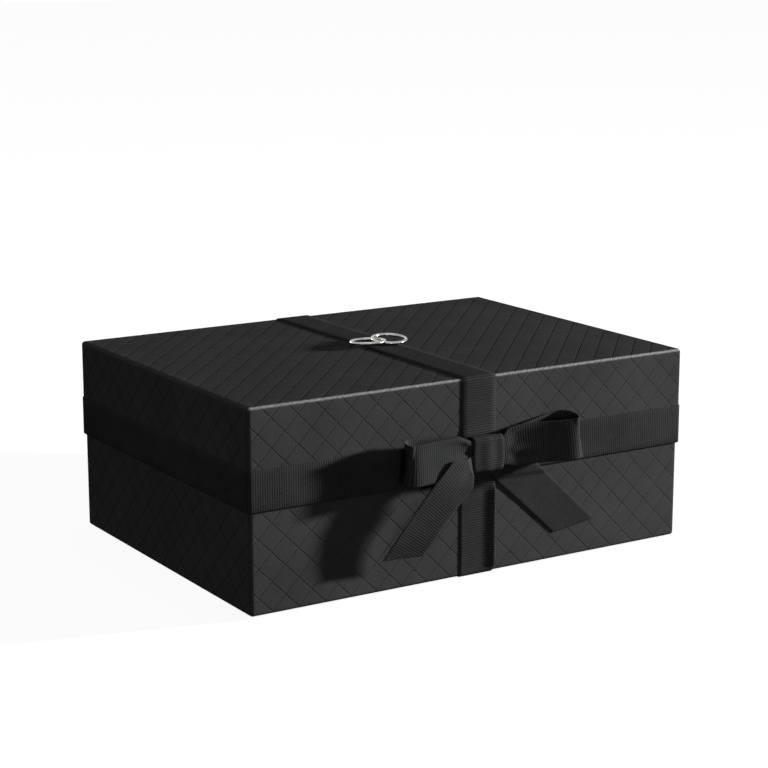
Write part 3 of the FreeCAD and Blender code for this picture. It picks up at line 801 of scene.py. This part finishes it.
def loop_rows(spec):
    """Middle line, width directions, half widths and length of a loop, from the knot out and back."""
    theta = np.linspace(LOOP_START, 2 * math.pi - LOOP_START, LOOP_POINTS)
    out = (1 - np.cos(theta)) / 2
    facing = np.sign(np.sin(theta))
    full = out ** spec["rise"] * np.sqrt(np.maximum(1 - out ** LOOP_END_POWER, 0)) / LOOP_FULLEST
    swell = spec["depth"] / 2 * full * facing + LAYER_GAP * np.cos(theta / 2)
    puff = spec["puff"] * np.exp(-((spec["reach"] * out - PUFF_AT) / PUFF_WIDTH) ** 2)
    swell = swell + puff * (theta < math.pi)
    closing = spec["closing"] * smooth((out - CLOSING_FROM) / CLOSING_RISE)
    closing = closing * (1 - smooth((out - CLOSING_TO) / CLOSING_FALL))
    centre = np.stack([spec["sign"] * (LOOP_ROOT + (spec["reach"] - LOOP_ROOT) * out),
                       KNOT_MIDDLE + spec["lean"] * out ** spec["swing"] + swell,
                       spec["lift"] * out + facing * (closing - spec["shift"] * full * out ** 3)], -1)
    lengths = run_lengths(centre)
    spots = np.linspace(0, lengths[-1], int(lengths[-1] / STEP))
    theta = np.interp(spots, lengths, theta)
    centre = points_at(spots, lengths, centre)
    out = (1 - np.cos(theta)) / 2
    along = unit(np.gradient(centre, axis=0))
    front = (1 + np.sin(theta)) / 2
    tilt = np.radians(spec["back"] + (spec["front"] - spec["back"]) * front) * smooth(out * TILT_RATE)
    width = np.stack([np.zeros_like(tilt), -np.sin(tilt), np.cos(tilt)], -1)
    width = unit(width - along * (width * along).sum(1)[:, None])
    opened = smooth((np.abs(centre[:, 0]) - KNOT_HALF) / spec["opened"])
    half = LOOP_GATHER + (RIBBON_HALF - LOOP_GATHER) * opened
    return centre, width, half, lengths[-1]


def bow_loop(side):
    spec = LOOPS[side]
    centre, width, half, length = loop_rows(spec)

    def gathers(grid, share, run):
        reach = np.abs(grid[..., 0])
        close = smooth((GATHER_END - reach) / GATHER_FALL) * smooth((reach - spec["gathered"]) / GATHER_RISE)
        fold = sum(height * np.cos(share * waves + start) for height, waves, start in GATHER_FOLDS)
        sag = SAG * np.sin(run / SAG_RUN)[:, None] * share[None] ** 2
        upper = smooth((share - RAISED_FROM) / RAISED_RISE) * (1 - smooth((share - RAISED_TO) / RAISED_FALL))
        raised = spec["raised"] * np.exp(-((reach - KNOT_SIDE) / RAISED_WIDTH) ** 2) * upper[None]
        return forward(close * fold[None] + sag + raised)

    return ribbon("bow_loop_" + side + "_ribbon", "bow_loop_" + side, "lid", to_world(centre),
                  direction(width), half, BOW_COLUMNS, dents=gathers)


# Tails. The points give the run across the box, and away gives its distance from the box. A fold has a
# height and a place across the width.
TAILS = {
    "left": dict(points=((-5.5, -1.8), (-23.5, -7.5), (-48.0, -45.2)), away=(7.35, 11.9, 11.2, 5.4),
                 seat=7.35, cut=30.0, gather=3.8, turn=0.25, held=0.115, opened=0.2,
                 folds=((-0.8, -0.25), (0.5, 0.55)), bowl=0.5, twist=1.0, lift=0.0, drop=0.0),
    "right": dict(points=((2.0, 2.0), (12.0, -2.5), (59.0, -47.0)), away=(0.45, 0.5, -0.2, -0.25),
                  seat=0.45, cut=38.0, gather=6.0, turn=0.01, held=0.0, opened=0.45,
                  folds=(), bowl=0.0, twist=0.0, lift=0.45, drop=1.3),
}
TAIL_POINTS = 700
SPARE_ROWS = 4
FREED_RUN = 3.3
FOLD_WIDTH = 0.3
FOLD_FROM = 0.1
FOLD_RISE = 0.15
FOLD_TO = 0.42
BOWL_FROM = 0.5
BOWL_RISE = 0.5
TWIST_FROM = 0.15
TWIST_RISE = 0.3
LIFT_FROM = 0.4
LIFT_RISE = 0.25
DROP_TOP = 50.0
DROP_TALL = 3.5


def tail_line(spec):
    """The tail's middle line from the knot to its tip, the share of the run at each point, and the length."""
    first, bend, end = [np.array([x, 0, z]) for x, z in spec["points"]]
    share = np.linspace(0, 1, TAIL_POINTS)[:, None]
    centre = first * (1 - share) ** 2 + bend * 2 * share * (1 - share) + end * share ** 2
    away = spec["away"]
    far = (away[0] * (1 - share) ** 3 + 3 * away[1] * share * (1 - share) ** 2
           + 3 * away[2] * share ** 2 * (1 - share) + away[3] * share ** 3)[:, 0]
    freed = smooth((np.abs(centre[:, 0]) - KNOT_SIDE) / FREED_RUN)
    centre[:, 1] = spec["seat"] + (far - spec["seat"]) * freed
    lengths = run_lengths(centre)
    spots = np.linspace(0, lengths[-1], int(lengths[-1] / STEP))
    return points_at(spots, lengths, centre), np.interp(spots, lengths, share[:, 0]), lengths[-1]


def bow_tail(side):
    """A tail made longer than its run, then cut at a slant through its tip."""
    spec = TAILS[side]
    centre, done, length = tail_line(spec)
    along = unit(np.gradient(centre, axis=0))
    tip = to_world(centre[-1])
    slope = math.tan(math.radians(spec["cut"]))
    extra = int(RIBBON_HALF * slope / STEP) + SPARE_ROWS
    more = np.arange(1, extra + 1)[:, None] * STEP
    centre = np.concatenate([centre, centre[-1] + along[-1] * more])
    along = np.concatenate([along, np.tile(along[-1], (extra, 1))])
    done = np.concatenate([done, np.ones(extra)])
    width = np.stack([-along[:, 2], np.zeros(len(done)), along[:, 0]], -1)
    width = width * np.where(width[:, 2:] < 0, -1, 1)
    turned = smooth(done / spec["turn"])[:, None]
    width = width * turned + np.array([0, 0, 1.0]) * (1 - turned)
    width = unit(width - along * (width * along).sum(1)[:, None] * turned)
    opened = smooth((done - spec["held"]) / spec["opened"])
    half = spec["gather"] + (RIBBON_HALF - spec["gather"]) * opened

    def shape(grid, share, run):
        fold = np.zeros_like(share)
        for height, place in spec["folds"]:
            fold = fold + height * np.exp(-((share - place) / FOLD_WIDTH) ** 2)
        close = smooth(1 - done / FOLD_TO) * smooth((done - FOLD_FROM) / FOLD_RISE)
        shift = close[:, None] * fold[None]
        shift = shift + spec["bowl"] * share[None] ** 2 * smooth((done - BOWL_FROM) / BOWL_RISE)[:, None]
        shift = shift + spec["twist"] * share[None] * smooth((done - TWIST_FROM) / TWIST_RISE)[:, None]
        shift = shift + spec["lift"] * (1 + share[None]) * smooth((done - LIFT_FROM) / LIFT_RISE)[:, None]
        return forward(shift - spec["drop"] * smooth((DROP_TOP - grid[..., 2]) / DROP_TALL))

    cut_normal = direction(along[-1]) - direction(width[-1]) * slope
    return ribbon("bow_tail_" + side + "_ribbon", "bow_tail_" + side, "lid", to_world(centre),
                  direction(width), half, BOW_COLUMNS, dents=shape,
                  cut=(tip, cut_normal))


bow_knot()
for side in LOOPS:
    bow_loop(side)
    bow_tail(side)


# Two linked rings, in millimetres.
RING_RADIUS = 8.8
RING_WIRE = 0.9
RING_OFFSET = 6.5
RING_TILT = math.radians(4.0)
RING_SEGMENTS = 112
RING_SIDES = 18


def ring_mesh(sign):
    spots, faces = [], []
    tilt = Matrix.Rotation(RING_TILT * sign, 3, "X")
    low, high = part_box("ring_ornament")
    height = (low.z + high.z) / 2 / MM
    for i in range(RING_SEGMENTS):
        turn = 2 * math.pi * i / RING_SEGMENTS
        k = (i + 1) % RING_SEGMENTS
        for j in range(RING_SIDES):
            around = 2 * math.pi * j / RING_SIDES
            reach = RING_RADIUS + RING_WIRE * math.cos(around)
            spot = Vector((reach * math.cos(turn), reach * math.sin(turn), RING_WIRE * math.sin(around)))
            spot = tilt @ spot
            spots.append((spot.x + sign * RING_OFFSET, spot.y, spot.z + height))
            n = (j + 1) % RING_SIDES
            here, there = i * RING_SIDES, k * RING_SIDES
            faces.append((here + j, there + j, there + n, here + n))
    return spots, faces


def linked_rings():
    left = make_piece("ring_pair_polished", *ring_mesh(-1), SILVER, "lid", "silver_metal")
    right = make_piece("ring_cutter", *ring_mesh(1), SILVER, "lid", "silver_metal")
    join = left.modifiers.new("join", "BOOLEAN")
    join.operation = "UNION"
    join.solver = "EXACT"
    join.object = right
    bpy.context.view_layer.update()
    whole = bpy.data.meshes.new_from_object(left.evaluated_get(bpy.context.evaluated_depsgraph_get()))
    left.modifiers.clear()
    left.data = whole
    whole.polygons.foreach_set("use_smooth", [True] * len(whole.polygons))
    bpy.data.objects.remove(right)
    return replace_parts(left, "ring_ornament")


linked_rings()

# The pieces that come from the source as they are, by the last word of their names.
NODE_MATERIALS = {"board": BOARD, "tapes": TAPE, "dots": GLUE}
for name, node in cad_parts.items():
    if not node.hide_render:
        node.data.materials.clear()
        node.data.materials.append(NODE_MATERIALS.get(name.rsplit("_", 1)[-1], LINER))


# Floor, light and camera, in metres
FLOOR_REACH = 8.0
FLOOR_Z = -0.0002
FLOOR_COLOUR = (0.16, 0.16, 0.16, 1)
FLOOR_GLOW = 0.93
FLOOR_UNSEEN_COLOUR = (0.05, 0.05, 0.05, 1)
WHITE = (1, 1, 1, 1)
WORLD_STRENGTH = 0.1
KEY_POWER = 90.0
KEY_SIZE = 0.024
KEY_PLACE = (0.6, -0.27, 0.193)
CAMERA_PLACE_MM = (-551.86, -883.17, 310.38)
CAMERA_YAW = math.radians(-32.159)
CAMERA_PITCH = math.radians(12.493)
CAMERA_LENS = 95.532
CAMERA_SENSOR = 36.0


def seen_factor(nodes, links):
    """One for rays from the camera, mirrors and glass."""
    path = nodes.new("ShaderNodeLightPath")
    seen = math_node(nodes, links, "MAXIMUM", path.outputs["Is Camera Ray"], path.outputs["Is Glossy Ray"])
    return math_node(nodes, links, "MAXIMUM", seen, path.outputs["Is Transmission Ray"])


def floor_material():
    """Nearly white where it is seen, and dim where it lights the box."""
    material, nodes, links, shader = new_material("pale_floor")
    nodes.remove(shader)
    lit = add_node(nodes, "ShaderNodeBsdfDiffuse", Color=FLOOR_COLOUR)
    glow = add_node(nodes, "ShaderNodeEmission", Color=WHITE, Strength=FLOOR_GLOW)
    both = nodes.new("ShaderNodeAddShader")
    links.new(lit.outputs[0], both.inputs[0])
    links.new(glow.outputs[0], both.inputs[1])
    dim = add_node(nodes, "ShaderNodeBsdfDiffuse", Color=FLOOR_UNSEEN_COLOUR)
    pick = nodes.new("ShaderNodeMixShader")
    links.new(seen_factor(nodes, links), pick.inputs[0])
    links.new(dim.outputs[0], pick.inputs[1])
    links.new(both.outputs[0], pick.inputs[2])
    links.new(pick.outputs[0], nodes["Material Output"].inputs["Surface"])
    return material


def add_floor():
    mesh = bpy.data.meshes.new("floor")
    corners = [(sx * FLOOR_REACH, sy * FLOOR_REACH, 0) for sx, sy in ((-1, -1), (1, -1), (1, 1), (-1, 1))]
    mesh.from_pydata(corners, [], [(0, 1, 2, 3)])
    mesh.materials.append(floor_material())
    floor = bpy.data.objects.new("floor", mesh)
    floor.location.z = FLOOR_Z
    bpy.context.scene.collection.objects.link(floor)


def add_world():
    world = bpy.data.worlds.new("studio")
    world.use_nodes = True
    bpy.context.scene.world = world
    nodes, links = world.node_tree.nodes, world.node_tree.links
    background = nodes["Background"]
    background.inputs["Color"].default_value = WHITE
    strength = ramp(nodes, links, seen_factor(nodes, links), WORLD_STRENGTH, 1.0, start=0.0, end=1.0)
    links.new(strength, background.inputs["Strength"])


def lamp(name, kind, energy, towards, **values):
    """A lamp that shines from the given direction."""
    data = bpy.data.lights.new(name, kind)
    data.energy = energy
    for key, value in values.items():
        setattr(data, key, value)
    light = bpy.data.objects.new(name, data)
    light.rotation_euler = Vector(towards).to_track_quat("Z", "Y").to_euler()
    bpy.context.scene.collection.objects.link(light)
    return light


def key_lamp():
    """A small lamp close to the box, with the same strength at every distance."""
    key = lamp("key", "POINT", KEY_POWER, (0, 0, 1), shadow_soft_size=KEY_SIZE, use_nodes=True)
    key.location = KEY_PLACE
    key.visible_camera = False
    nodes, links = key.data.node_tree.nodes, key.data.node_tree.links
    falloff = add_node(nodes, "ShaderNodeLightFalloff", Strength=1.0)
    links.new(falloff.outputs["Constant"], nodes["Emission"].inputs["Strength"])


def add_camera():
    data = bpy.data.cameras.new("camera")
    data.sensor_width = CAMERA_SENSOR
    data.lens = CAMERA_LENS
    camera = bpy.data.objects.new("camera", data)
    camera.location = Vector(CAMERA_PLACE_MM) * MM
    level = math.cos(CAMERA_PITCH)
    back = Vector((math.sin(CAMERA_YAW) * level, -math.cos(CAMERA_YAW) * level, math.sin(CAMERA_PITCH)))
    camera.rotation_euler = back.to_track_quat("Z", "Y").to_euler()
    bpy.context.scene.collection.objects.link(camera)
    bpy.context.scene.camera = camera


add_floor()
add_world()
lamp("fill", "SUN", energy=0.22, towards=(-0.3, -1.0, 0.12), angle=math.radians(12.0))
lamp("overhead", "SUN", energy=0.22, towards=(0.1, 0.15, 1.0), angle=math.radians(25.0))
lamp("rim", "SUN", energy=0.9, towards=(-0.22, 1.0, 0.1), angle=math.radians(4.0))
key_lamp()
add_camera()
bpy.context.scene.view_settings.view_transform = "Standard"
